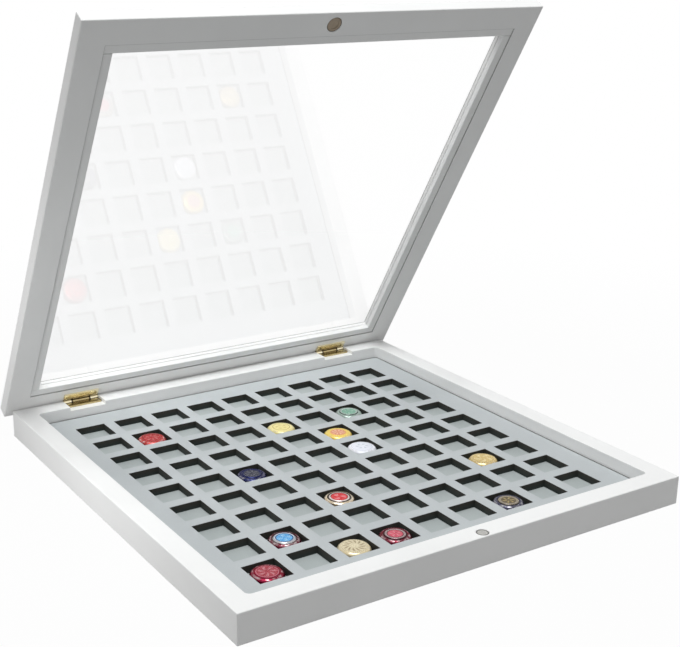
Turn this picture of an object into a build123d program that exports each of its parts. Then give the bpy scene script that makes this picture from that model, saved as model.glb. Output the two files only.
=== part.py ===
from build123d import *
import os

# A shallow square display case for bottle caps: a box with a tray of square cells
# and a glazed lid on two butt hinges, modelled with the lid standing open.
# Origin: middle of the underside. +X right, +Y back, +Z up. Millimetres.

# Box
box_side = 508.0
box_height = 30.0
rail_width = 22.0
inner_corner_radius = 5.0
outer_edge_radius = 1.0
inner_edge_radius = 0.8
panel_thickness = 3.0
panel_rebate = 8.0
panel_clearance = 0.3

# Tray, from the panel up
base_board_thickness = 4.5
lining_thickness = 0.5
divider_height = 7.8
facing_thickness = 0.2
tray_clearance = 1.0
tray_push_left = 0.6
tray_push_front = 0.8
tray_border = 30.0
cells_per_side = 9
cell_clearance = 1.0

# Lid
lid_overhang = 8.0
lid_thickness = 14.0
lid_face_width = 27.0
lid_edge_radius = 1.2
lid_window_radius = 0.8
lid_face_edge_radius = 0.3
lid_closed_gap = 0.3
lid_open_angle = 59.35
bead_width = 9.0
bead_recess = 1.0
bead_gap = 0.3
bead_edge_radius = 0.8
pane_depth = 7.0
pane_thickness = 2.0
pane_clearance = 0.4

# Hinges
hinge_spacing = 345.0
hinge_length = 42.0
leaf_width = 12.0
leaf_thickness = 2.0
leaf_gap = 0.8
leaf_corner_radius = 1.0
barrel_clearance = 0.3
middle_knuckle = 21.4
knuckle_gap = 0.5
pin_radius = 1.0
pin_chamfer = 0.25
pin_clearance = 0.05
notch_clearance = 0.5

# Screws
hinge_screw_offset = 16.8
hinge_screw_inset = 7.2
hinge_screw_length = 11.0
screw_radius = 1.3
screw_head_radius = 2.6
screw_head_height = 1.5
screw_tip = 2.0
screw_tip_radius = 0.2
screw_sink = 0.1
screw_clearance = 0.05
slot_width = 0.6
slot_depth = 0.5
panel_screw_length = 12.0
panel_screw_inset = 4.0
panel_screw_spacing = 190.0

# Catch: a magnet in the box rim and a steel disc in the lid
catch_recess = 0.2
catch_clearance = 0.2
magnet_shift = 4.8
magnet_inset = 7.5
magnet_radius = 6.0
magnet_height = 4.8
magnet_edge_radius = 0.4
disc_inset = 5.5
disc_radius = 8.0
disc_thickness = 1.5
disc_edge_radius = 0.5
disc_dish_radius = 4.8
disc_dish_depth = 0.3

# Caps
cap_radius = 16.0
cap_height = 7.8
cap_wall = 0.5
cap_skirt_height = 3.4
cap_shoulder_inset = 2.6
cap_shoulder_height = 6.6
cap_button_inset = 5.4
cap_button_foot = 7.0
cap_button_taper = 0.5
cap_notch_width = 3.2
cap_notch_height = 1.8
filled_cells = [
    (2, 2),
    (5, 3), (7, 3),
    (6, 4),
    (3, 5), (6, 5),
    (4, 7), (8, 7),
    (2, 8),
    (1, 9), (3, 9), (4, 9), (7, 9),
]

# Worked out from the sizes above
half_box = box_side / 2
inner_side = box_side - 2 * rail_width
lid_side = box_side + 2 * lid_overhang
lid_face_z = box_height + lid_closed_gap
hinge_axis_z = lid_face_z - leaf_thickness - leaf_gap / 2
notch_floor_z = hinge_axis_z - leaf_gap / 2 - leaf_thickness
base_top_z = panel_thickness + base_board_thickness
lining_top_z = base_top_z + lining_thickness
divider_top_z = lining_top_z + divider_height
tray_side = inner_side - 2 * tray_clearance
cell_opening = 2 * (cap_radius + cell_clearance)
web_width = (tray_side - 2 * tray_border - cells_per_side * cell_opening) / (cells_per_side - 1)
cell_pitch = cell_opening + web_width
window_side = lid_side - 2 * (lid_face_width + bead_width + bead_gap)
rebate_side = lid_side - 2 * lid_face_width
pane_side = rebate_side - 2 * pane_clearance
barrel_radius = leaf_thickness + leaf_gap / 2 - barrel_clearance
magnet_y = magnet_inset - half_box
disc_y = disc_inset - half_box
hinge_centres = {"left": -hinge_spacing / 2, "right": hinge_spacing / 2}
hinge_axis = Axis((0, half_box, hinge_axis_z), (1, 0, 0))


def block(width, depth, height, x=0, y=0, z=0):
    """A box centred on x and y that stands on z."""
    return Pos(x, y, z) * Box(width, depth, height, align=(Align.CENTER, Align.CENTER, Align.MIN))


def rod(radius, height, x=0, y=0, z=0):
    """An upright cylinder that stands on z."""
    return Pos(x, y, z) * Cylinder(radius, height, align=(Align.CENTER, Align.CENTER, Align.MIN))


def plate(side, height, z, radius):
    """A square plate with rounded corners that stands on z."""
    return Pos(0, 0, z) * extrude(RectangleRounded(side, side, radius), height)


def mitre_wedge(turn, reach, height, z):
    """The quarter of the square that one rail keeps, from the front one turned about Z."""
    corner = Polyline((0, 0), (-reach, -reach), (reach, -reach), close=True)
    return Pos(0, 0, z) * Rot(0, 0, turn) * extrude(make_face(corner), height)


def round_opening(ring, direction, radius):
    """Round the edge of the opening in the ring's last face along a direction."""
    face = ring.faces().filter_by(direction).sort_by(direction)[-1]
    return fillet(face.inner_wires()[0].edges(), radius)


def split_rails(ring, reach, height, z):
    """Cut a square ring into its four mitred rails."""
    turns = {"front": 0, "right": 90, "back": 180, "left": 270}
    return {side: ring & mitre_wedge(turn, reach, height, z) for side, turn in turns.items()}


def screw(length):
    """A countersunk wood screw with its head's top on z = 0, pointing down."""
    head = Pos(0, 0, -screw_head_height / 2) * Cone(screw_radius, screw_head_radius, screw_head_height)
    shank = rod(screw_radius, length - screw_tip - screw_head_height, z=screw_tip - length)
    tip = Pos(0, 0, screw_tip / 2 - length) * Cone(screw_tip_radius, screw_radius, screw_tip)
    slots = block(2 * screw_head_radius, slot_width, slot_depth, z=-slot_depth)
    slots += block(slot_width, 2 * screw_head_radius, slot_depth, z=-slot_depth)
    slots &= rod(screw_head_radius / 2, slot_depth, z=-slot_depth)
    return head + shank + tip - slots


def screw_hole(length):
    """The space a screw needs: its own shape and a clearance all round."""
    wide = screw_head_radius + screw_clearance
    narrow = screw_radius + screw_clearance
    head = Pos(0, 0, -screw_head_height / 2) * Cone(narrow, wide, screw_head_height)
    mouth = rod(wide, screw_sink + 1)
    shank = rod(narrow, length + screw_clearance, z=-length - screw_clearance)
    return head + mouth + shank


def upright(shape, x, y, z):
    """Place a screw or its hole with the head up."""
    return Pos(x, y, z - screw_sink) * shape


def inverted(shape, x, y, z):
    """Place a screw or its hole with the head down."""
    return Pos(x, y, z + screw_sink) * Rot(180, 0, 0) * shape


def hinge_screw_places(centre):
    return [(centre + side * hinge_screw_offset, half_box - hinge_screw_inset) for side in (-1, 1)]


def panel_screw_places():
    edge = half_box - (rail_width - panel_rebate) - panel_screw_inset
    places = []
    for step in (-1, 0, 1):
        along = step * panel_screw_spacing
        places += [(along, -edge), (along, edge), (-edge, along), (edge, along)]
    return places


def box_rails():
    outer = block(box_side, box_side, box_height)
    outer = fillet(outer.edges(), outer_edge_radius)
    ring = outer - plate(inner_side, box_height, 0, inner_corner_radius)
    ring = round_opening(ring, Axis.Z, inner_edge_radius)
    rebate = inner_side + 2 * panel_rebate
    ring -= block(rebate, rebate, panel_thickness)
    for x, y in panel_screw_places():
        ring -= inverted(screw_hole(panel_screw_length), x, y, 0)
    for centre in hinge_centres.values():
        notch_length = hinge_length + 2 * notch_clearance
        notch_y = half_box - rail_width / 2
        ring -= block(notch_length, rail_width + 2, box_height, centre, notch_y, notch_floor_z)
        for x, y in hinge_screw_places(centre):
            ring -= upright(screw_hole(hinge_screw_length), x, y, notch_floor_z + leaf_thickness)
    pocket_depth = magnet_height + catch_recess
    pocket_z = box_height - pocket_depth
    ring -= rod(magnet_radius + catch_clearance, pocket_depth, magnet_shift, magnet_y, pocket_z)
    return split_rails(ring, box_side, box_height, 0)


def bottom_panel():
    side = inner_side + 2 * panel_rebate - 2 * panel_clearance
    panel = block(side, side, panel_thickness)
    for x, y in panel_screw_places():
        panel -= inverted(screw_hole(panel_screw_length), x, y, 0)
    return panel


def panel_screws():
    return [inverted(screw(panel_screw_length), x, y, 0) for x, y in panel_screw_places()]


def cell_centre(column, row):
    """Columns count from the left and rows from the back, both from 1."""
    middle = (cells_per_side + 1) / 2
    return (column - middle) * cell_pitch, (middle - row) * cell_pitch


def all_cells():
    numbers = range(1, cells_per_side + 1)
    return [(column, row) for row in numbers for column in numbers]


def in_tray(shape):
    """Push a shape of the centred tray to where the tray lies in the box."""
    return Pos(-tray_push_left, -tray_push_front, 0) * shape


def row_dividers():
    """Full-length strips in front of, between and behind the rows of cells."""
    rounded = plate(tray_side, divider_height, lining_top_z, inner_corner_radius)
    border_y = (tray_side - tray_border) / 2
    strips = []
    for side in (-1, 1):
        strips.append(rounded & block(tray_side, tray_border, box_height, 0, side * border_y, 0))
    for row in range(1, cells_per_side):
        y = cell_centre(1, row)[1] - cell_pitch / 2
        strips.append(block(tray_side, web_width, divider_height, 0, y, lining_top_z))
    return strips


def column_dividers():
    """Short blocks beside the cells, between the strips."""
    border_x = (tray_side - tray_border) / 2
    blocks = []
    for row in range(1, cells_per_side + 1):
        y = cell_centre(1, row)[1]
        for side in (-1, 1):
            blocks.append(block(tray_border, cell_opening, divider_height, side * border_x, y, lining_top_z))
        for column in range(1, cells_per_side):
            x = cell_centre(column, row)[0] + cell_pitch / 2
            blocks.append(block(web_width, cell_opening, divider_height, x, y, lining_top_z))
    return blocks


def tray_facing():
    sheet = plate(tray_side, facing_thickness, divider_top_z, inner_corner_radius)
    holes = [block(cell_opening, cell_opening, box_height, *cell_centre(*cell)) for cell in all_cells()]
    return sheet - holes


def magnet():
    z = box_height - catch_recess - magnet_height
    body = rod(magnet_radius, magnet_height, magnet_shift, magnet_y, z)
    return fillet(body.edges().filter_by(GeomType.CIRCLE).sort_by(Axis.Z)[-1], magnet_edge_radius)


def lid_rails():
    outer = block(lid_side, lid_side, lid_thickness, z=lid_face_z)
    outer = fillet(outer.edges(), lid_edge_radius)
    ring = outer - block(window_side, window_side, 2 * lid_thickness, z=lid_face_z - 1)
    ring = round_opening(ring, Axis.Z, lid_window_radius)
    ring -= block(rebate_side, rebate_side, pane_depth + pane_thickness, z=lid_face_z)
    ring = round_opening(ring, -Axis.Z, lid_face_edge_radius)
    pocket_depth = disc_thickness + catch_recess
    ring -= rod(disc_radius + catch_clearance, pocket_depth, 0, disc_y, lid_face_z)
    for centre in hinge_centres.values():
        for x, y in hinge_screw_places(centre):
            ring -= inverted(screw_hole(hinge_screw_length), x, y, lid_face_z - leaf_thickness)
    return split_rails(ring, lid_side, 2 * lid_thickness, lid_face_z - 1)


def pane():
    return block(pane_side, pane_side, pane_thickness, z=lid_face_z + pane_depth)


def glazing_beads():
    """Two beads run the full width and two fit between them."""
    height = pane_depth - bead_recess
    offset = (window_side + bead_width) / 2
    long_side = window_side + 2 * bead_width
    short_side = window_side - 2 * bead_gap
    beads = {}
    for name, along, x, y in (
        ("front", True, 0, -offset),
        ("back", True, 0, offset),
        ("left", False, -offset, 0),
        ("right", False, offset, 0),
    ):
        width, depth = (long_side, bead_width) if along else (bead_width, short_side)
        bead = block(width, depth, height, x, y, lid_face_z + bead_recess)
        lines = bead.edges().filter_by(Axis.X if along else Axis.Y)
        lowest = lines.group_by(Axis.Z)[0]
        inner_line = lowest.sort_by(lambda edge: abs(edge.center().X) + abs(edge.center().Y))[0]
        beads[name] = fillet(inner_line, bead_edge_radius)
    return beads


def strike_disc():
    disc = rod(disc_radius, disc_thickness, 0, disc_y, lid_face_z + catch_recess)
    rim = disc.edges().filter_by(GeomType.CIRCLE).sort_by(Axis.Z)[0]
    disc = fillet(rim, disc_edge_radius)
    return disc - rod(disc_dish_radius, disc_dish_depth, 0, disc_y, lid_face_z + catch_recess)


def knuckle(length, x):
    """One barrel section round the hinge axis, bored for the pin."""
    place = Pos(x, half_box, hinge_axis_z) * Rot(0, 90, 0)
    return place * (Cylinder(barrel_radius, length) - Cylinder(pin_radius + pin_clearance, length))


def hinge_leaf(centre, upper):
    """A leaf with its share of the barrel: the middle section below, the outer two above."""
    outer_knuckle = (hinge_length - middle_knuckle) / 2 - knuckle_gap
    outer_offset = (hinge_length - outer_knuckle) / 2
    outer = [(outer_knuckle, -outer_offset), (outer_knuckle, outer_offset)]
    middle = [(middle_knuckle, 0)]
    own, other = (outer, middle) if upper else (middle, outer)
    z = hinge_axis_z + (leaf_gap / 2 if upper else -leaf_gap / 2 - leaf_thickness)
    leaf = block(hinge_length, leaf_width, leaf_thickness, centre, half_box - leaf_width / 2, z)
    far_corners = leaf.edges().filter_by(Axis.Z).group_by(Axis.Y)[0]
    leaf = fillet(far_corners, leaf_corner_radius)
    cut_reach = 2 * (barrel_radius + knuckle_gap)
    for length, offset in other:
        leaf -= block(length + 2 * knuckle_gap, cut_reach, 2 * box_height, centre + offset, half_box)
    for length, offset in own:
        bore = Cylinder(pin_radius + pin_clearance, length)
        leaf -= Pos(centre + offset, half_box, hinge_axis_z) * Rot(0, 90, 0) * bore
        leaf += knuckle(length, centre + offset)
    for x, y in hinge_screw_places(centre):
        if upper:
            leaf -= inverted(screw_hole(hinge_screw_length), x, y, z)
        else:
            leaf -= upright(screw_hole(hinge_screw_length), x, y, z + leaf_thickness)
    return leaf


def hinge_pin(centre):
    place = Pos(centre, half_box, hinge_axis_z) * Rot(0, 90, 0)
    return place * chamfer(Cylinder(pin_radius, hinge_length).edges(), pin_chamfer)


def hinge_screws(centre, upper):
    places = hinge_screw_places(centre)
    if upper:
        head_z = hinge_axis_z + leaf_gap / 2
        return [inverted(screw(hinge_screw_length), x, y, head_z) for x, y in places]
    head_z = notch_floor_z + leaf_thickness
    return [upright(screw(hinge_screw_length), x, y, head_z) for x, y in places]


def cap():
    """A pressed cap: a skirt with four wire notches, a sloping shoulder and a raised button."""
    def half_section(inset):
        radius = cap_radius - inset
        button = radius - cap_button_inset
        outline = Polyline(
            (0, 0),
            (radius, 0),
            (radius, cap_skirt_height),
            (radius - cap_shoulder_inset, cap_shoulder_height - inset),
            (button, cap_button_foot - inset),
            (button - cap_button_taper, cap_height - inset),
            (0, cap_height - inset),
            close=True,
        )
        return make_face(Plane.XZ * outline)
    shell = revolve(half_section(0), Axis.Z) - revolve(half_section(cap_wall), Axis.Z)
    for turn in (45, 135):
        shell -= Rot(0, 0, turn) * block(4 * cap_radius, cap_notch_width, cap_notch_height)
    return shell


def open_lid(shape):
    """Swing a shape of the closed lid up to where the lid stands."""
    return shape.rotate(hinge_axis, -lid_open_angle)


nodes = {}
for side, rail in box_rails().items():
    nodes[f"box_{side}_rail"] = rail
nodes["bottom_panel"] = bottom_panel()
nodes["panel_screws"] = panel_screws()
nodes["base_board"] = in_tray(plate(tray_side, base_board_thickness, panel_thickness, inner_corner_radius))
nodes["floor_lining"] = in_tray(plate(tray_side, lining_thickness, base_top_z, inner_corner_radius))
nodes["row_dividers"] = [in_tray(strip) for strip in row_dividers()]
nodes["column_dividers"] = [in_tray(piece) for piece in column_dividers()]
nodes["tray_facing"] = in_tray(tray_facing())
nodes["catch_magnet"] = magnet()

for side, rail in lid_rails().items():
    nodes[f"lid_{side}_rail"] = open_lid(rail)
for side, bead in glazing_beads().items():
    nodes[f"{side}_glazing_bead"] = open_lid(bead)
nodes["pane"] = open_lid(pane())
nodes["strike_disc"] = open_lid(strike_disc())

for side, centre in hinge_centres.items():
    nodes[f"{side}_hinge_box_leaf"] = hinge_leaf(centre, upper=False)
    nodes[f"{side}_hinge_lid_leaf"] = open_lid(hinge_leaf(centre, upper=True))
    nodes[f"{side}_hinge_pin"] = hinge_pin(centre)
    nodes[f"{side}_hinge_box_screws"] = hinge_screws(centre, upper=False)
    nodes[f"{side}_hinge_lid_screws"] = [open_lid(item) for item in hinge_screws(centre, upper=True)]

one_cap = cap()
for column, row in filled_cells:
    x, y = cell_centre(column, row)
    nodes[f"cap_row{row}_column{column}"] = in_tray(Pos(x, y, lining_top_z) * one_cap)

os.makedirs("parts", exist_ok=True)
for name, shape in nodes.items():
    shapes = shape if isinstance(shape, list) else [shape]
    solids = [solid for item in shapes for solid in item.solids()]
    export_step(Compound(children=solids) if len(solids) > 1 else solids[0], f"parts/{name}.step")
print(len(nodes), "nodes")
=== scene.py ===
import bpy
import math
import numpy as np
from mathutils import Matrix, Vector


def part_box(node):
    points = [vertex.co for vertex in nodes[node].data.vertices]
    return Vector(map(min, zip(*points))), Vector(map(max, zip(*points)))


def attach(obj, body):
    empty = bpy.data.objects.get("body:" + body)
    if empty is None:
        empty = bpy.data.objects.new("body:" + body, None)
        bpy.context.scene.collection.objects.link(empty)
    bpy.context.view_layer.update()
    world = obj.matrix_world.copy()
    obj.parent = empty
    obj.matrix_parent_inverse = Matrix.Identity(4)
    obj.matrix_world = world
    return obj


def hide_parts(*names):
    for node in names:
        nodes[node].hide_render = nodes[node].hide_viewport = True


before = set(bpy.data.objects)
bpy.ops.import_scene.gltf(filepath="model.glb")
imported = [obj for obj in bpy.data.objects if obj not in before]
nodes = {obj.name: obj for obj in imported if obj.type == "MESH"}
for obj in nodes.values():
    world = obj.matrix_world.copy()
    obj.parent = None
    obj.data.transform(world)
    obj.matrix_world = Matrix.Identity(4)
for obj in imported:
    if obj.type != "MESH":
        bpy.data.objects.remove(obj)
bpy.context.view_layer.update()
print("frame loaded:", len(nodes), "nodes")

# Where the photograph was taken from, in the row frame and metres
camera = {
    "place": (-0.6844, -1.0142, 0.5451),
    "forward": (0.5095, 0.8088, -0.2938),
    "right": (0.8475, -0.5307, 0.0087),
    "focalPixels": 1245.8,
    "axisPixel": (291.6, 315.9),
    "imageSize": (680, 647),
    "sensorWidth": 36.0,
    "clipStart": 0.01,
}


def addCamera(c):
    # lens = focal length in pixels * sensor width / image width, and the shift puts the lens's
    # axis on its own pixel
    forward = Vector(c["forward"]).normalized()
    up = Vector(c["right"]).cross(forward).normalized()
    right = forward.cross(up)
    lens = bpy.data.cameras.new("photoCamera")
    width, height = c["imageSize"]
    lens.sensor_fit = "HORIZONTAL"
    lens.sensor_width = c["sensorWidth"]
    lens.lens = c["focalPixels"] * c["sensorWidth"] / width
    lens.shift_x = (width / 2 - c["axisPixel"][0]) / width
    lens.shift_y = (c["axisPixel"][1] - height / 2) / width
    lens.clip_start = c["clipStart"]
    holder = bpy.data.objects.new("photoCamera", lens)
    turn = Matrix((right, up, -forward)).transposed().to_4x4()
    holder.matrix_world = Matrix.Translation(c["place"]) @ turn
    bpy.context.scene.collection.objects.link(holder)
    bpy.context.scene.camera = holder


addCamera(camera)
bpy.context.scene.view_settings.view_transform = "Standard"
print("camera placed")

millimetres = 1000.0  # in a metre
hingeAxis = (0.0, 0.254, 0.0279)  # a point on the lid's hinge line, which runs left to right


# Node helpers: each returns the socket that carries its result
class Tree:
    def __init__(self, owner):
        owner.use_nodes = True
        self.nodes = owner.node_tree.nodes
        self.links = owner.node_tree.links
        self.nodes.clear()

    def add(self, kind, **settings):
        node = self.nodes.new(kind)
        for key, value in settings.items():
            setattr(node, key, value)
        return node

    def put(self, socket, value):
        # a number, a colour or another node's socket
        if isinstance(value, bpy.types.NodeSocket):
            self.links.new(value, socket)
        elif isinstance(value, (tuple, list)) and len(value) == 3 and socket.type == "RGBA":
            socket.default_value = (*value, 1.0)
        else:
            socket.default_value = value

    def math(self, operation, a, b=None, clamp=False):
        node = self.add("ShaderNodeMath", operation=operation, use_clamp=clamp)
        self.put(node.inputs[0], a)
        if b is not None:
            self.put(node.inputs[1], b)
        return node.outputs[0]

    def vector(self, operation, a, b=None):
        node = self.add("ShaderNodeVectorMath", operation=operation)
        self.put(node.inputs[0], a)
        if b is not None:
            self.put(node.inputs[1], b)
        isNumber = operation in ("LENGTH", "DOT_PRODUCT", "DISTANCE")
        return node.outputs["Value" if isNumber else "Vector"]

    def split(self, place):
        # the place's x, y and z
        node = self.add("ShaderNodeSeparateXYZ")
        self.put(node.inputs[0], place)
        return tuple(node.outputs)

    def range(self, value, fromLow, fromHigh, toLow, toHigh, smooth=False):
        kind = "SMOOTHSTEP" if smooth else "LINEAR"
        node = self.add("ShaderNodeMapRange", interpolation_type=kind)
        for socket, item in zip(node.inputs, (value, fromLow, fromHigh, toLow, toHigh)):
            self.put(socket, item)
        return node.outputs[0]

    def mix(self, amount, a, b):
        node = self.add("ShaderNodeMix", data_type="RGBA")
        self.put(node.inputs[0], amount)
        self.put(node.inputs[6], a)
        self.put(node.inputs[7], b)
        return node.outputs[2]

    def place(self, stretch=(1, 1, 1), centre=(0, 0, 0)):
        # object coordinates moved to a centre and then stretched
        source = self.add("ShaderNodeTexCoord").outputs["Object"]
        if tuple(centre) != (0, 0, 0):
            source = self.vector("SUBTRACT", source, tuple(centre))
        if tuple(stretch) != (1, 1, 1):
            source = self.vector("MULTIPLY", source, tuple(stretch))
        return source

    def polar(self, centre):
        # millimetres from an upright axis through the centre, and the angle round it
        x, y, _ = self.split(self.place(centre=centre))
        squares = self.math("ADD", self.math("MULTIPLY", x, x), self.math("MULTIPLY", y, y))
        reach = self.math("SQRT", squares)
        return self.math("MULTIPLY", reach, millimetres), self.math("ARCTAN2", y, x)

    def bell(self, value, low, high, fullness=0.7):
        # a sine arch that rises from 0 at low to 1 half way and falls to 0 at high, made fuller
        # by a power below 1
        share = self.range(value, low, high, 0.0, math.pi)
        return self.math("POWER", self.math("MAXIMUM", self.math("SINE", share), 0.0), fullness)

    def band(self, value, low, high, edge):
        # 1 between low and high, and 0 outside them, over soft edges
        return self.math("MULTIPLY", self.range(value, low - edge, low + edge, 0.0, 1.0),
                         self.range(value, high - edge, high + edge, 1.0, 0.0))

    def noise(self, place, scale, detail=3.0, rough=0.5, distort=0.0):
        node = self.add("ShaderNodeTexNoise")
        self.put(node.inputs["Vector"], place)
        self.put(node.inputs["Scale"], scale)
        self.put(node.inputs["Detail"], detail)
        self.put(node.inputs["Roughness"], rough)
        self.put(node.inputs["Distortion"], distort)
        return node.outputs["Fac"]

    def bump(self, height, distance, strength=1.0):
        node = self.add("ShaderNodeBump")
        self.put(node.inputs["Height"], height)
        self.put(node.inputs["Distance"], distance)
        self.put(node.inputs["Strength"], strength)
        return node.outputs[0]

    def principled(self, **values):
        node = self.add("ShaderNodeBsdfPrincipled")
        for name, value in values.items():
            self.put(node.inputs[socketNames[name]], value)
        return node.outputs[0]

    def finish(self, surface, kind="ShaderNodeOutputMaterial"):
        self.links.new(surface, self.add(kind).inputs["Surface"])


socketNames = {
    "colour": "Base Color",
    "metallic": "Metallic",
    "roughness": "Roughness",
    "normal": "Normal",
    "specular": "Specular IOR Level",
    "edgeTint": "Specular Tint",
    "coat": "Coat Weight",
    "coatRoughness": "Coat Roughness",
    "transmission": "Transmission Weight",
    "ior": "IOR",
}


def newMaterial(name):
    material = bpy.data.materials.new(name)
    return material, Tree(material)


# Satin white lacquer on fibreboard: faint clouds, patches of more and less gloss, orange peel
lacquer = {
    "pale": (0.846, 0.848, 0.842),
    "deep": (0.816, 0.818, 0.812),
    "cloudScale": 9.0,
    "cloudDetail": 4.0,
    "cloudRange": (0.35, 0.65),
    "glossScale": 54.0,
    "glossRange": (0.3, 0.7),
    "roughness": (0.28, 0.40),
    "peelScale": 420.0,
    "peelDetail": 2.0,
    "peelDepth": 0.000025,
    "specular": 0.45,
}

# Where the glazing beads meet the lid: a square seam round the lid's middle, on its underside.
# The lip that the pane rests on is darkened inside the window as painted shade. Metres
beadSeamAndLipShade = {
    "axis": hingeAxis,
    "openAngle": 59.35,
    "axisToMiddle": 0.254,
    "halfSide": 0.235,
    "halfWidth": 0.00025,
    "fade": 0.0003,
    "underside": 0.006,
    "seamShare": 0.8,
    "lipFrom": 0.0149,
    "windowHalf": 0.2259,
    "lipShadeShare": 1.0,
    "dark": (0.36, 0.36, 0.35),
}


def seamAndLipShadeAmount(t, v):
    # the seam's share where the larger of the two distances from the lid's middle is the half
    # side, the lip's share of painted shade on the window's wall beyond the pane, and 0 elsewhere
    turn = math.radians(v["openAngle"])
    fromAxis = t.place(centre=v["axis"])
    across = t.math("ABSOLUTE", t.split(fromAxis)[0])
    down = t.vector("DOT_PRODUCT", fromAxis, (0.0, math.cos(turn), -math.sin(turn)))
    down = t.math("ABSOLUTE", t.math("ADD", down, v["axisToMiddle"]))
    reach = t.math("MAXIMUM", across, down)
    off = t.math("ABSOLUTE", t.math("SUBTRACT", reach, v["halfSide"]))
    line = t.range(off, v["halfWidth"], v["halfWidth"] + v["fade"], 1.0, 0.0)
    deep = t.vector("DOT_PRODUCT", fromAxis, (0.0, math.sin(turn), math.cos(turn)))
    seam = t.math("MULTIPLY", line, t.math("LESS_THAN", deep, v["underside"]))
    seam = t.math("MULTIPLY", seam, v["seamShare"])
    lipShade = t.math("MULTIPLY", t.math("GREATER_THAN", deep, v["lipFrom"]),
                 t.math("LESS_THAN", reach, v["windowHalf"]))
    return t.math("MAXIMUM", seam, t.math("MULTIPLY", lipShade, v["lipShadeShare"]))


# Below the tray's top the inner walls are darkened as painted shade in the narrow gap beside the
# tray. Metres
wallGapShade = {
    "wallInside": 0.2326,
    "bottom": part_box("bottom_panel")[1][2],
    "top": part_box("tray_facing")[1][2],
    "fade": 0.0001,
    "dark": (0.34, 0.34, 0.34),
}


def gapShadeAmount(t, v):
    # the painted shade's share: 1 on the inner walls from the bottom panel up to the tray's top, 0
    # elsewhere
    x, y, z = t.split(t.place())
    reach = t.math("MAXIMUM", t.math("ABSOLUTE", x), t.math("ABSOLUTE", y))
    below = t.range(z, v["top"] - v["fade"], v["top"], 1.0, 0.0)
    foot = t.math("MULTIPLY", below, t.math("LESS_THAN", reach, v["wallInside"]))
    return t.math("MULTIPLY", foot, t.math("GREATER_THAN", z, v["bottom"]))


def makeLacquer(name, v, amount, seamAndShade):
    # clouds mix the two whites, the amount darkens them with a dark seam and painted shade,
    # patches set the gloss and fine noise dents the surface
    material, t = newMaterial(name)
    place = t.place()
    cloud = t.noise(place, v["cloudScale"], detail=v["cloudDetail"])
    colour = t.mix(t.range(cloud, *v["cloudRange"], 0.0, 1.0), v["deep"], v["pale"])
    colour = t.mix(amount(t, seamAndShade), colour, seamAndShade["dark"])
    gloss = t.range(t.noise(place, v["glossScale"]), *v["glossRange"], *v["roughness"])
    peel = t.noise(place, v["peelScale"], detail=v["peelDetail"])
    t.finish(t.principled(colour=colour, roughness=gloss, normal=t.bump(peel, v["peelDepth"]),
                          specular=v["specular"]))
    return material


# Grey card lining with a short fibre and broad blotches, each with its share of the shade
lining = {
    "facing": {"pale": (0.495, 0.522, 0.532), "deep": (0.440, 0.468, 0.478)},
    # the floor's greys are the facing's darkened by about 0.86: painted shade down in the cells
    "floor": {"pale": (0.425, 0.462, 0.460), "deep": (0.372, 0.410, 0.408)},
    "fibreScale": 1400.0,
    "fibreStretch": (1, 2.4, 1),
    "fibreDetail": 4.0,
    "fibreDistort": 0.6,
    "fibreShare": 0.6,
    "blotchScale": 14.0,
    "blotchShare": 0.4,
    "shadeRange": (0.35, 0.65),
    "depth": 0.00008,
    "roughness": 0.92,
    "specular": 0.2,
}


def makeLining(name, v, shades):
    # fibre and blotches, each times its share, add up to the shade, and the fibre dents the card
    material, t = newMaterial(name)
    fibre = t.noise(t.place(stretch=v["fibreStretch"]), v["fibreScale"],
                    detail=v["fibreDetail"], distort=v["fibreDistort"])
    blotch = t.noise(t.place(), v["blotchScale"])
    amount = t.math("ADD", t.math("MULTIPLY", fibre, v["fibreShare"]),
                    t.math("MULTIPLY", blotch, v["blotchShare"]))
    colour = t.mix(t.range(amount, *v["shadeRange"], 0.0, 1.0), shades["deep"], shades["pale"])
    t.finish(t.principled(colour=colour, roughness=v["roughness"],
                          normal=t.bump(fibre, v["depth"]), specular=v["specular"]))
    return material


# Dark board in thin layers, greenish low down and browner towards the tray, dusty in places
board = {
    "low": (0.022, 0.032, 0.029),
    "high": (0.035, 0.032, 0.026),
    "heights": (0.009, 0.015),
    "grainScale": 260.0,
    "grainStretch": (1, 1, 7),
    "grainDetail": 5.0,
    "grainRough": 0.65,
    "dust": (0.047, 0.044, 0.037),
    "dustRange": (0.5, 0.75),
    "dustShare": 0.8,
    "depth": 0.0001,
    "roughness": 0.72,
    "specular": 0.3,
}


def makeBoard(v):
    # the height mixes the two browns, and noise squeezed into layers lays the dust and the dents
    material, t = newMaterial("darkBoard")
    layers = t.noise(t.place(stretch=v["grainStretch"]), v["grainScale"],
                     detail=v["grainDetail"], rough=v["grainRough"])
    height = t.split(t.place())[2]
    colour = t.mix(t.range(height, *v["heights"], 0.0, 1.0), v["low"], v["high"])
    colour = t.mix(t.range(layers, *v["dustRange"], 0.0, v["dustShare"]), colour, v["dust"])
    t.finish(t.principled(colour=colour, roughness=v["roughness"],
                          normal=t.bump(layers, v["depth"]), specular=v["specular"]))
    return material


# Thin clear pane, faintly smeared, that lets lamp light through
glass = {
    "tint": (1.0, 1.0, 1.0),
    "ior": 1.6,
    "shade": (0.95, 0.955, 0.955),
    "smearScale": 7.0,
    "smearDetail": 5.0,
    "smearDistort": 1.2,
    "smearRange": (0.45, 0.75),
    "roughness": (0.0, 0.018),
}


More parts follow.
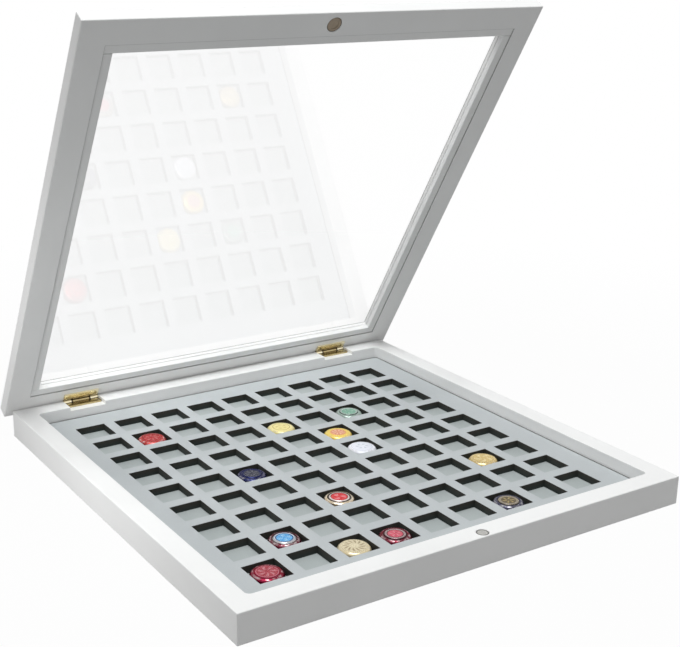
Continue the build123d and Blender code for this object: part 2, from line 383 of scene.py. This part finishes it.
def makeGlass(v):
    # clear glass, a little rougher where it is smeared, that only tints the light of the lamps
    material, t = newMaterial("clearPane")
    smear = t.noise(t.place(), v["smearScale"], detail=v["smearDetail"],
                    distort=v["smearDistort"])
    rough = t.range(smear, *v["smearRange"], *v["roughness"])
    body = t.principled(colour=v["tint"], roughness=rough, transmission=1.0, ior=v["ior"])
    clear = t.add("ShaderNodeBsdfTransparent")
    t.put(clear.inputs[0], v["shade"])
    mixer = t.add("ShaderNodeMixShader")
    t.put(mixer.inputs[0], t.add("ShaderNodeLightPath").outputs["Is Shadow Ray"])
    t.links.new(body, mixer.inputs[1])
    t.links.new(clear.outputs[0], mixer.inputs[2])
    t.finish(mixer.outputs[0])
    return material


# Metals: a base colour, a darker tarnish in blotches, fine rubbed lines
metals = {
    # the lid's leaf and pin take a lit copy of the brass, painted light, and the box's leaf a
    # darker copy, painted shade
    "litBrass": {
        "base": (1.0, 0.93, 0.7), "stain": (0.86, 0.72, 0.44),
        "roughness": (0.22, 0.36), "lines": 900.0,
    },
    "shadedBrass": {
        "base": (0.5, 0.41, 0.22), "stain": (0.22, 0.16, 0.07),
        "roughness": (0.16, 0.3), "lines": 900.0,
    },
    "brassScrew": {
        "base": (0.84, 0.79, 0.58), "stain": (0.44, 0.38, 0.22),
        "roughness": (0.12, 0.26), "lines": 1500.0,
    },
    "nickelMagnet": {
        "base": (0.5, 0.495, 0.47), "stain": (0.34, 0.34, 0.33),
        "roughness": (0.14, 0.3), "lines": 1200.0,
    },
    "bronzedSteel": {
        "base": (0.2, 0.165, 0.125), "stain": (0.1, 0.08, 0.06),
        "roughness": (0.3, 0.5), "lines": 1300.0,
    },
    "zincScrew": {
        "base": (0.6, 0.61, 0.63), "stain": (0.36, 0.36, 0.37),
        "roughness": (0.22, 0.42), "lines": 1500.0,
    },
}

# What the metals share: where the tarnish lies, and how the rubbed lines run
metalWear = {
    "stainScale": 220.0,
    "stainDetail": 5.0,
    "stainRough": 0.6,
    "stainRange": (0.5, 0.8),
    "stainShare": 0.6,
    "lineStretch": (0.06, 1, 1),
    "lineRange": (0.3, 0.7),
    "lineDepth": 0.00003,
    "lineStrength": 0.5,
}

# Painted shade, brownish on the hinge: along a hinge's barrel and knuckle seams, at its leaves'
# ends, and on a round part's rim. Metres
hingeShade = {
    "axis": hingeAxis,
    "hingeMiddle": 0.1725,
    "seam": 0.01085,
    "seamHalfWidth": 0.0006,
    "seamReach": 0.0060,
    "barrel": 0.00215,
    "barrelFade": 0.0003,
    "reach": 0.0040,
    "reachFade": 0.0008,
    "end": 0.0200,
    "endFade": 0.0015,
    "endDark": 0.5,
    "dark": 0.06,
    "colour": (0.045, 0.022, 0.007),
}
rimShade = {"dark": 0.42, "width": 0.0011, "solidShare": 0.3}


def hingeLitShare(t, v):
    # 1 on unshaded brass, down to v["dark"] in the painted shade beside the barrel and on the
    # seams between knuckles, and part of the way down past the knuckles' ends
    fromAxis = t.vector("SUBTRACT", t.place(), v["axis"])
    away = t.vector("LENGTH", t.vector("MULTIPLY", fromAxis, (0.0, 1.0, 1.0)))
    beside = t.math("MULTIPLY",
                    t.range(away, v["barrel"], v["barrel"] + v["barrelFade"], 0.0, 1.0),
                    t.range(away, v["reach"] - v["reachFade"], v["reach"], 1.0, 0.0))
    x = t.math("ABSOLUTE", t.split(t.place())[0])
    along = t.math("ABSOLUTE", t.math("SUBTRACT", x, v["hingeMiddle"]))
    fromSeam = t.math("ABSOLUTE", t.math("SUBTRACT", along, v["seam"]))
    width = v["seamHalfWidth"]
    seam = t.math("MULTIPLY", t.range(fromSeam, width, 2 * width, 1.0, 0.0),
                  t.range(away, v["reach"], v["seamReach"], 1.0, 0.0))
    ends = t.range(along, v["end"], v["end"] + v["endFade"], 0.0, v["endDark"])
    paintedShade = t.math("MAXIMUM", t.math("MAXIMUM", beside, seam), ends)
    return t.range(paintedShade, 0.0, 1.0, 1.0, v["dark"])


def rimLitShare(t, v, node):
    # 1 in the middle of a round part, down to v["dark"] at its rim: painted shade round the rim
    low, high = (Vector(corner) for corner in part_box(node))
    away = t.vector("DISTANCE", t.place(), tuple((low + high) / 2))
    rim = (high.x - low.x) / 2
    return t.range(away, rim - v["width"], rim - v["solidShare"] * v["width"], 1.0, v["dark"])


def makeMetal(name, v, litShare=None, paintedShade=(0.0, 0.0, 0.0)):
    # blotches mix in the tarnish, painted shade covers what isn't lit, and noise drawn out along x
    # gives rubbed lines in gloss and height
    w = metalWear
    material, t = newMaterial(name)
    blotch = t.noise(t.place(), w["stainScale"], detail=w["stainDetail"], rough=w["stainRough"])
    stain = t.range(blotch, *w["stainRange"], 0.0, w["stainShare"])
    colour = t.mix(stain, v["base"], v["stain"])
    if litShare is not None:
        colour = t.mix(litShare(t), paintedShade, colour)
    lines = t.noise(t.place(stretch=w["lineStretch"]), v["lines"])
    t.finish(t.principled(colour=colour, metallic=1.0,
                          roughness=t.range(lines, *w["lineRange"], *v["roughness"]),
                          normal=t.bump(lines, w["lineDepth"], w["lineStrength"])))
    return material


def give(nodeNames, material):
    for name in nodeNames:
        thing = nodes[name]
        thing.data.materials.clear()
        thing.data.materials.append(material)


sides = ("front", "back", "left", "right")
boxParts = [f"box_{side}_rail" for side in sides] + ["bottom_panel"]
# the box's inner walls get painted shade below the tray's top
give(boxParts, makeLacquer("boxLacquer", lacquer, gapShadeAmount, wallGapShade))
lidParts = [f"lid_{side}_rail" for side in sides]
lidParts += [f"{side}_glazing_bead" for side in sides]
# the lid gets a dark seam and painted shade on the window's lip
give(lidParts, makeLacquer("lidLacquer", lacquer, seamAndLipShadeAmount, beadSeamAndLipShade))
give(["tray_facing"], makeLining("trayFacing", lining, lining["facing"]))
# the cells' floor lining is a painted-shade copy of the facing's grey
give(["floor_lining"], makeLining("shadedCellFloor", lining, lining["floor"]))
give(["base_board", "row_dividers", "column_dividers"], makeBoard(board))
give(["pane"], makeGlass(glass))
# the magnet and the disc get painted shade round their rims
for name, metal in (("catch_magnet", "nickelMagnet"), ("strike_disc", "bronzedSteel")):
    litShare = lambda t, name=name: rimLitShare(t, rimShade, name)
    give([name], makeMetal(metal, metals[metal], litShare))
give(["panel_screws"], makeMetal("zincScrew", metals["zincScrew"]))
# the hinge brass gets painted shade, in a brown, beside the barrel, on the knuckle seams and at
# the ends
hinge = (lambda t: hingeLitShare(t, hingeShade), hingeShade["colour"])
# one brass in a lit copy for the lid's leaves and pins and a painted-shade copy for the box's
# leaves
litBrass = makeMetal("litBrass", metals["litBrass"], *hinge)
shadedBrass = makeMetal("shadedBrass", metals["shadedBrass"], *hinge)
brassScrew = makeMetal("brassScrew", metals["brassScrew"])
for side in ("left", "right"):
    give([f"{side}_hinge_lid_leaf", f"{side}_hinge_pin"], litBrass)
    give([f"{side}_hinge_box_leaf"], shadedBrass)
    give([f"{side}_hinge_box_screws", f"{side}_hinge_lid_screws"], brassScrew)
print("materials given to the packed nodes")


# Pressed caps. Outlines run from the rim over the top to the middle: radius and height, mm
capShape = {
    "button": ((15.7, 0.0), (16.0, 0.5), (15.9, 3.0), (15.5, 4.5), (14.9, 5.5),
               (14.0, 6.4), (13.0, 7.0), (12.1, 7.15), (11.3, 6.9), (10.6, 6.5),
               (10.2, 7.2), (9.7, 7.8), (9.0, 7.8), (8.5, 7.4), (0.0, 7.6)),
    "dish": ((15.7, 0.0), (16.0, 0.5), (15.9, 3.2), (15.6, 4.6), (15.0, 5.6), (14.1, 6.5),
             (13.1, 7.1), (12.4, 7.2), (11.9, 6.95), (11.4, 7.25), (8.0, 7.6), (0.0, 7.75)),
    "wall": 0.3,
    "pathSteps": 56,
    "turnSteps": 112,
    "softening": 3,
    "notchCount": 4,
    "notchHeight": 1.9,
    "notchHalfWidth": 0.11,
    "skirtHeight": 4.2,
    "topFade": 2.0,
    "beadHeight": 0.2,
    "beadHalfWidth": 1.0,
    "floorHeight": 8.0,
}

# Looks by cell, column from the left and row from the back. Radii in mm.
# The ornament is petals between two radii and a ring of beads; all of it is generic.
# Each line is a ring of colour: its inner radius, outer radius and colour. Most are print, and the
# dark ones over a button's groove, about 10 to 12 mm out, are painted shade.
capLooks = {
    (1, 9): {
        "kind": "dish", "metal": 0.7, "wear": 0.45, "lift": 0.45,
        "middle": (0.4, 0.075, 0.095), "middleRadius": 9.6,
        "ring": (0.54, 0.2, 0.24), "ringRadius": 10.4,
        "outer": (0.2, 0.003, 0.026), "accent": (0.62, 0.27, 0.3),
        "petals": 7, "petalReach": (2.0, 9.0), "twist": 0.35, "beads": 0,
        "lines": (),
    },
    (3, 9): {
        "kind": "dish", "metal": 0.35, "wear": 0.35, "lift": 0.45,
        "middle": (0.68, 0.6, 0.42), "middleRadius": 11.4,
        "ring": (0.72, 0.64, 0.44), "ringRadius": 12.3,
        "outer": (0.68, 0.58, 0.37), "accent": (0.28, 0.21, 0.12),
        "petals": 12, "petalReach": (4.0, 11.0), "twist": -0.5, "beads": 36,
        "lines": (),
    },
    (4, 9): {
        "kind": "button", "metal": 0.6, "wear": 0.55, "lift": 0.18,
        "middle": (0.68, 0.13, 0.18), "middleRadius": 7.2,
        "ring": (0.4, 0.31, 0.31), "ringRadius": 9.9,
        "outer": (0.14, 0.004, 0.02), "accent": (0.78, 0.3, 0.34),
        "petals": 5, "petalReach": (1.0, 6.4), "twist": 0.0, "beads": 0,
        "lines": (
            (7.2, 7.8, (0.1, 0.004, 0.012)),
            (9.9, 11.2, (0.03, 0.004, 0.008)),
        ),
    },
    (7, 9): {
        "kind": "button", "metal": 0.4, "wear": 0.5, "lift": 0.22,
        "middle": (0.13, 0.1, 0.055), "middleRadius": 7.4,
        "ring": (0.28, 0.25, 0.22), "ringRadius": 9.9,
        "outer": (0.05, 0.05, 0.085), "accent": (0.44, 0.34, 0.14),
        "petals": 6, "petalReach": (0.6, 6.6), "twist": 0.4, "beads": 30,
        "lines": (
            (10.0, 11.0, (0.02, 0.018, 0.02)),
        ),
    },
    (2, 8): {
        "kind": "button", "metal": 0.55, "wear": 0.55, "lift": 0.15,
        "middle": (0.13, 0.42, 0.78), "middleRadius": 8.4,
        "ring": (0.52, 0.6, 0.7), "ringRadius": 9.6,
        "outer": (0.115, 0.003, 0.018), "accent": (0.34, 0.62, 0.86),
        "petals": 4, "petalReach": (1.2, 7.0), "twist": 0.25, "beads": 0,
        "lines": (
            (7.6, 8.4, (0.012, 0.035, 0.11)),
            (9.7, 10.8, (0.46, 0.46, 0.47)),
            (10.8, 12.0, (0.03, 0.003, 0.007)),
        ),
    },
    (4, 7): {
        "kind": "button", "metal": 0.45, "wear": 0.6, "lift": 0.18,
        "middle": (0.6, 0.012, 0.03), "middleRadius": 8.4,
        "ring": (0.7, 0.6, 0.6), "ringRadius": 10.2,
        "outer": (0.58, 0.47, 0.32), "accent": (0.76, 0.24, 0.28),
        "petals": 3, "petalReach": (0.8, 7.2), "twist": 0.6, "beads": 0,
        "lines": (
            (8.2, 8.8, (0.06, 0.03, 0.03)),
            (10.2, 12.2, (0.035, 0.024, 0.02)),
            (14.6, 15.3, (0.05, 0.035, 0.025)),
        ),
    },
    (8, 7): {
        "kind": "dish", "metal": 0.5, "wear": 0.35, "lift": 0.5,
        "middle": (0.6, 0.46, 0.2), "middleRadius": 10.8,
        "ring": (0.68, 0.55, 0.28), "ringRadius": 11.9,
        "outer": (0.54, 0.41, 0.18), "accent": (0.82, 0.7, 0.42),
        "petals": 5, "petalReach": (2.4, 10.2), "twist": 1.2, "beads": 28,
        "lines": (
            (10.7, 11.2, (0.3, 0.2, 0.07)),
        ),
    },
    (3, 5): {
        "kind": "button", "metal": 0.55, "wear": 0.35, "lift": 0.22,
        "middle": (0.06, 0.062, 0.08), "middleRadius": 8.3,
        "ring": (0.022, 0.026, 0.085), "ringRadius": 9.9,
        "outer": (0.008, 0.012, 0.07), "accent": (0.15, 0.15, 0.17),
        "petals": 8, "petalReach": (1.5, 7.8), "twist": -0.3, "beads": 0,
        "lines": (),
    },
    (6, 5): {
        "kind": "dish", "metal": 0.1, "wear": 0.3, "lift": 0.12,
        "middle": (0.74, 0.76, 0.83), "middleRadius": 10.9,
        "ring": (0.52, 0.55, 0.64), "ringRadius": 11.4,
        "outer": (0.8, 0.81, 0.87), "accent": (0.48, 0.53, 0.6),
        "petals": 6, "petalReach": (3.0, 7.0), "twist": 0.5, "beads": 0,
        "lines": (),
    },
    (6, 4): {
        "kind": "dish", "metal": 0.25, "wear": 0.3, "lift": 0.22,
        "middle": (0.68, 0.28, 0.18), "middleRadius": 7.6,
        "ring": (0.72, 0.3, 0.07), "ringRadius": 9.0,
        "outer": (0.8, 0.58, 0.13), "accent": (0.84, 0.54, 0.4),
        "petals": 8, "petalReach": (1.2, 7.4), "twist": 0.0, "beads": 24,
        "lines": (),
    },
    (5, 3): {
        "kind": "dish", "metal": 0.15, "wear": 0.3, "lift": 0.12,
        "middle": (0.8, 0.7, 0.3), "middleRadius": 9.2,
        "ring": (0.42, 0.31, 0.09), "ringRadius": 9.8,
        "outer": (0.8, 0.7, 0.32), "accent": (0.6, 0.48, 0.18),
        "petals": 5, "petalReach": (3.0, 6.6), "twist": -0.3, "beads": 0,
        "lines": (),
    },
    (7, 3): {
        "kind": "button", "metal": 0.4, "wear": 0.4, "lift": 0.15,
        "middle": (0.18, 0.38, 0.28), "middleRadius": 8.2,
        "ring": (0.42, 0.5, 0.46), "ringRadius": 9.9,
        "outer": (0.3, 0.38, 0.34), "accent": (0.32, 0.5, 0.4),
        "petals": 6, "petalReach": (1.4, 7.4), "twist": 0.0, "beads": 0,
        "lines": (
            (9.9, 10.9, (0.06, 0.09, 0.075)),
        ),
    },
    (2, 2): {
        "kind": "dish", "metal": 0.5, "wear": 0.6, "lift": 0.28,
        "middle": (0.44, 0.04, 0.045), "middleRadius": 9.6,
        "ring": (0.2, 0.01, 0.016), "ringRadius": 10.5,
        "outer": (0.46, 0.055, 0.05), "accent": (0.6, 0.2, 0.19),
        "petals": 8, "petalReach": (1.6, 8.6), "twist": 0.3, "beads": 26,
        "lines": (),
    },
}

# Print, varnish, specks and the ring where paint has rubbed off the shoulder; radii in mm
capFinish = {
    "zoneEdge": 0.12,
    "lineEdge": 0.1,
    "petalRange": (-0.1, 0.5),
    "petalShare": 0.8,
    "beadRange": (0.0, 0.6),
    "beadShare": 0.6,
    "beadSpread": 0.6,
    "bareMetal": (0.74, 0.72, 0.71),
    "wearRing": (11.9, 14.7),
    "wearScale": 260.0,
    "wearRange": (0.44, 0.62),
    "speckScale": 1900.0,
    "speckDetail": 5.0,
    "speckRough": 0.7,
    "speckRange": (0.62, 0.72),
    "speckShare": 0.3,
    "bareFrom": 0.9,
    "scuffScale": 900.0,
    "scuffStretch": (1, 3, 1),
    "scuffDetail": 4.0,
    "scuffRange": (0.3, 0.7),
    "scuffDepth": 0.00002,
    "scuffStrength": 0.6,
    "roughness": (0.14, 0.32),
    "coat": 0.2,
    "coatRoughness": 0.05,
    "specular": 0.08,
    "tintFloor": 0.25,
    "tintGain": 1.5,
}


def capOutline(points, v):
    # points evenly spaced along the outline, each then made half of itself and a quarter of
    # each neighbour, softening times over
    corners = np.array(points)
    run = np.concatenate(([0.0], np.cumsum(np.hypot(*np.diff(corners, axis=0).T))))
    even = np.linspace(0.0, run[-1], v["pathSteps"])
    row = np.stack([np.interp(even, run, corners[:, k]) for k in (0, 1)], axis=1)
    for _ in range(v["softening"]):
        row[1:-1] = 0.25 * row[:-2] + 0.5 * row[1:-1] + 0.25 * row[2:]
    return row


def closedTurnMesh(name, grid):
    # a grid of points, path steps by turn steps, whose first and last path steps are poles.
    # The faces are turned outwards if the solid's volume comes out negative
    steps, turns = grid.shape[:2]
    points = np.concatenate([part.reshape(-1, 3)
                             for part in (grid[:1, :1], grid[1:-1], grid[-1:, :1])])
    here = np.arange(turns)
    after = (here + 1) % turns
    rows = 1 + turns * np.arange(steps - 2)[:, None]
    quads = np.stack([rows[:-1] + here, rows[:-1] + after, rows[1:] + after, rows[1:] + here],
                     axis=-1).reshape(-1, 4)
    last = len(points) - 1
    low = np.stack([np.zeros_like(here), 1 + after, 1 + here], axis=1)
    high = np.stack([np.full_like(here, last), rows[-1] + here, rows[-1] + after], axis=1)
    faces = quads.tolist() + low.tolist() + high.tolist()
    a, b, c, d = (points[quads[:, k]] for k in range(4))
    volume = np.sum(a * (np.cross(b, c) + np.cross(c, d)))
    if volume < 0:
        faces = [face[::-1] for face in faces]
    mesh = bpy.data.meshes.new(name)
    mesh.from_pydata(points.tolist(), [], faces)
    mesh.polygons.foreach_set("use_smooth", np.ones(len(faces), dtype=bool))
    mesh.update()
    return mesh


def addCap(cell, look, v):
    # The outline turned about the cap's axis, inside and out. At each wire notch the skirt is
    # raised by notchHeight * cos^2 of the angle from the notch, fading out up the skirt. Between
    # the petals the top sinks by lift * (0.5 - 0.5 cos(petals * (angle + twist * radius / far)))
    # * sin^2 of the way across them, and between beads by beadHeight * (1 - cos(beads * angle)).
    column, row = cell
    name = f"cap_row{row}_column{column}"
    low, high = (np.array(corner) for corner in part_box(name))
    centre = millimetres * (low + high) / 2
    outer = capOutline(v[look["kind"]], v)
    inner = outer - v["wall"]
    inner[:, 0] = np.maximum(inner[:, 0], 0.0)
    inner[0, 1] = outer[0, 1]
    path = np.concatenate([inner[::-1], outer])
    angle = np.linspace(0.0, 2 * math.pi, v["turnSteps"], endpoint=False)[None, :]
    radius, height = path[:, :1], path[:, 1:]
    part = 2 * math.pi / v["notchCount"]
    away = np.abs((angle + part / 2) % part - part / 2)
    notch = v["notchHeight"] * np.cos(np.clip(away / v["notchHalfWidth"], 0, 1) * math.pi / 2) ** 2
    z = height + notch * np.clip(1 - height / v["skirtHeight"], 0, 1)
    near, far = look["petalReach"]
    across = np.clip((radius - near) / (far - near), 0, 1)
    petals = 0.5 + 0.5 * np.cos(look["petals"] * (angle + look["twist"] * radius / far))
    onTop = np.clip((height - v["skirtHeight"]) / v["topFade"], 0, 1)
    z = z + look["lift"] * (petals - 1) * np.sin(across * math.pi) ** 2 * onTop
    if look["beads"]:
        ringMiddle = (look["middleRadius"] + look["ringRadius"]) / 2
        band = np.clip(1 - np.abs(radius - ringMiddle) / v["beadHalfWidth"], 0, 1)
        z = z + v["beadHeight"] * (np.cos(look["beads"] * angle) - 1) * band * onTop
    x = centre[0] + radius * np.cos(angle)
    y = centre[1] + radius * np.sin(angle)
    grid = np.stack([x, y, v["floorHeight"] + z], axis=-1) / millimetres
    mesh = closedTurnMesh(name, grid)
    piece = bpy.data.objects.new(name.replace("cap_", "pressedCap_"), mesh)
    bpy.context.scene.collection.objects.link(piece)
    mesh.materials.append(makeCapPaint(name, look, centre / millimetres, capFinish))
    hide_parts(name)
    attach(piece, name)


def makeCapPaint(name, look, centre, v):
    # printed zones, rings and petals with painted shade in a button's groove, under clear varnish,
    # rubbed to bare metal in specks and along the shoulder
    material, t = newMaterial(f"paint_{name}")
    radius, angle = t.polar(tuple(float(c) for c in centre))
    far = look["petalReach"][1]
    turned = t.math("ADD", angle, t.math("MULTIPLY", radius, look["twist"] / far))
    wave = t.math("COSINE", t.math("MULTIPLY", turned, float(look["petals"])))
    petals = t.range(wave, *v["petalRange"], 0.0, 1.0, smooth=True)
    ornament = t.math("MULTIPLY", petals, t.bell(radius, *look["petalReach"]), clamp=True)
    share = t.math("MULTIPLY", ornament, v["petalShare"])
    colour = t.mix(share, look["middle"], look["accent"])
    for zone, limit in (("ring", look["middleRadius"]), ("outer", look["ringRadius"])):
        beyond = t.range(radius, limit - v["zoneEdge"], limit + v["zoneEdge"], 0.0, 1.0)
        colour = t.mix(beyond, colour, look[zone])
    # the dark lines over a button's groove are painted shade, the other lines print
    for inner, outer, paint in look["lines"]:
        colour = t.mix(t.band(radius, inner, outer, v["lineEdge"]), colour, paint)
    if look["beads"]:
        pulse = t.math("COSINE", t.math("MULTIPLY", angle, float(look["beads"])))
        bead = t.range(pulse, *v["beadRange"], 0.0, v["beadShare"])
        spread = v["beadSpread"]
        onRing = t.bell(radius, look["middleRadius"] - spread, look["ringRadius"] + spread)
        colour = t.mix(t.math("MULTIPLY", bead, onRing, clamp=True), colour, look["accent"])
    place = t.place()
    fleck = t.noise(place, v["speckScale"], detail=v["speckDetail"], rough=v["speckRough"])
    speck = t.range(fleck, *v["speckRange"], 0.0, v["speckShare"])
    patches = t.range(t.noise(place, v["wearScale"]), *v["wearRange"], 0.0, look["wear"])
    worn = t.math("MULTIPLY", patches, t.bell(radius, *v["wearRing"]), clamp=True)
    rub = t.math("MAXIMUM", speck, worn)
    colour = t.mix(rub, colour, v["bareMetal"])
    scuff = t.noise(t.place(stretch=v["scuffStretch"]), v["scuffScale"], detail=v["scuffDetail"])
    tint = tuple(min(1.0, v["tintFloor"] + v["tintGain"] * c) for c in look["outer"])
    t.finish(t.principled(colour=colour,
                          metallic=t.range(rub, 0.0, v["bareFrom"], look["metal"], 1.0),
                          roughness=t.range(scuff, *v["scuffRange"], *v["roughness"]),
                          normal=t.bump(scuff, v["scuffDepth"], v["scuffStrength"]),
                          coat=v["coat"], coatRoughness=v["coatRoughness"],
                          specular=v["specular"], edgeTint=tint))
    return material


for cell, look in capLooks.items():
    addCap(cell, look, capShape)
print("caps pressed and painted:", len(capLooks))


# Floor, and light that leaves the top brightest and the front in soft shade
stage = {
    "floorColour": (0.38, 0.38, 0.38),
    "speckScale": 40.0,
    "speckDark": 0.97,
    "floorWhite": 0.975,
    "floorHalfSide": 8.0,
    "whiteFrom": (0.5, 1.1),
    "white": 1.0,
    "skyStrength": 0.318,
}


def whiteForSight(t):
    # 1 for rays that look at the background straight, mirrored or through the pane
    path = t.add("ShaderNodeLightPath")
    seen = t.math("MAXIMUM", path.outputs["Is Camera Ray"], path.outputs["Is Glossy Ray"])
    return t.math("MAXIMUM", seen, path.outputs["Is Transmission Ray"])


def addFloor(v):
    # grey for light, and for sight nearly white, all white beyond whiteFrom's second distance
    half = v["floorHalfSide"]
    mesh = bpy.data.meshes.new("floor")
    corners = [(-half, -half, 0), (half, -half, 0), (half, half, 0), (-half, half, 0)]
    mesh.from_pydata(corners, [], [(0, 1, 2, 3)])
    floor = bpy.data.objects.new("floor", mesh)
    bpy.context.scene.collection.objects.link(floor)
    material, t = newMaterial("paleFloor")
    plain = t.add("ShaderNodeBsdfDiffuse")
    speck = t.noise(t.place(), v["speckScale"])
    low = tuple(v["speckDark"] * c for c in v["floorColour"])
    t.put(plain.inputs["Color"], t.mix(speck, low, v["floorColour"]))
    glow = t.add("ShaderNodeEmission")
    t.put(glow.inputs["Strength"], v["white"])
    mixer = t.add("ShaderNodeMixShader")
    share = t.range(t.vector("LENGTH", t.place()), *v["whiteFrom"], v["floorWhite"], 1.0)
    t.put(mixer.inputs[0], t.math("MULTIPLY", whiteForSight(t), share))
    t.links.new(plain.outputs[0], mixer.inputs[1])
    t.links.new(glow.outputs[0], mixer.inputs[2])
    t.finish(mixer.outputs[0])
    mesh.materials.append(material)


def lightWorld(v):
    # skyStrength as light, and white for sight
    world = bpy.data.worlds.new("studio")
    bpy.context.scene.world = world
    t = Tree(world)
    back = t.add("ShaderNodeBackground")
    strength = t.range(whiteForSight(t), 0.0, 1.0, v["skyStrength"], v["white"])
    t.put(back.inputs["Strength"], strength)
    t.put(back.inputs["Color"], (1.0, 1.0, 1.0))
    t.finish(back.outputs[0], "ShaderNodeOutputWorld")


# name: place, size, watts, colour. Each looks at the same place over the middle of the case
lamps = {
    "topSoftbox": {
        "place": (-0.42, -0.42, 2.8), "size": (1.8, 1.8),
        "power": 52.0, "colour": (0.98, 0.995, 1.0),
    },
    "topStrip": {
        "place": (-0.15, -0.35, 2.2), "size": (0.65, 0.13),
        "power": 6.0, "colour": (1.0, 1.0, 1.0),
    },
    "leftSoftbox": {
        "place": (-0.53, 0.04, 0.12), "size": (0.18, 0.12),
        "power": 0.42, "colour": (1.0, 1.0, 1.0),
    },
}
lampAim = (0.0, 0.0, 0.1)


def addLamps(v):
    # rectangles of light, each turned to face lampAim
    for name, lamp in v.items():
        light = bpy.data.lights.new(name, "AREA")
        light.shape = "RECTANGLE"
        light.size, light.size_y = lamp["size"]
        light.energy = lamp["power"]
        light.color = lamp["colour"]
        holder = bpy.data.objects.new(name, light)
        aim = Vector(lampAim) - Vector(lamp["place"])
        turn = aim.to_track_quat("-Z", "Y").to_matrix().to_4x4()
        holder.matrix_world = Matrix.Translation(lamp["place"]) @ turn
        bpy.context.scene.collection.objects.link(holder)


addFloor(stage)
lightWorld(stage)
addLamps(lamps)
print("stage and lamps set")
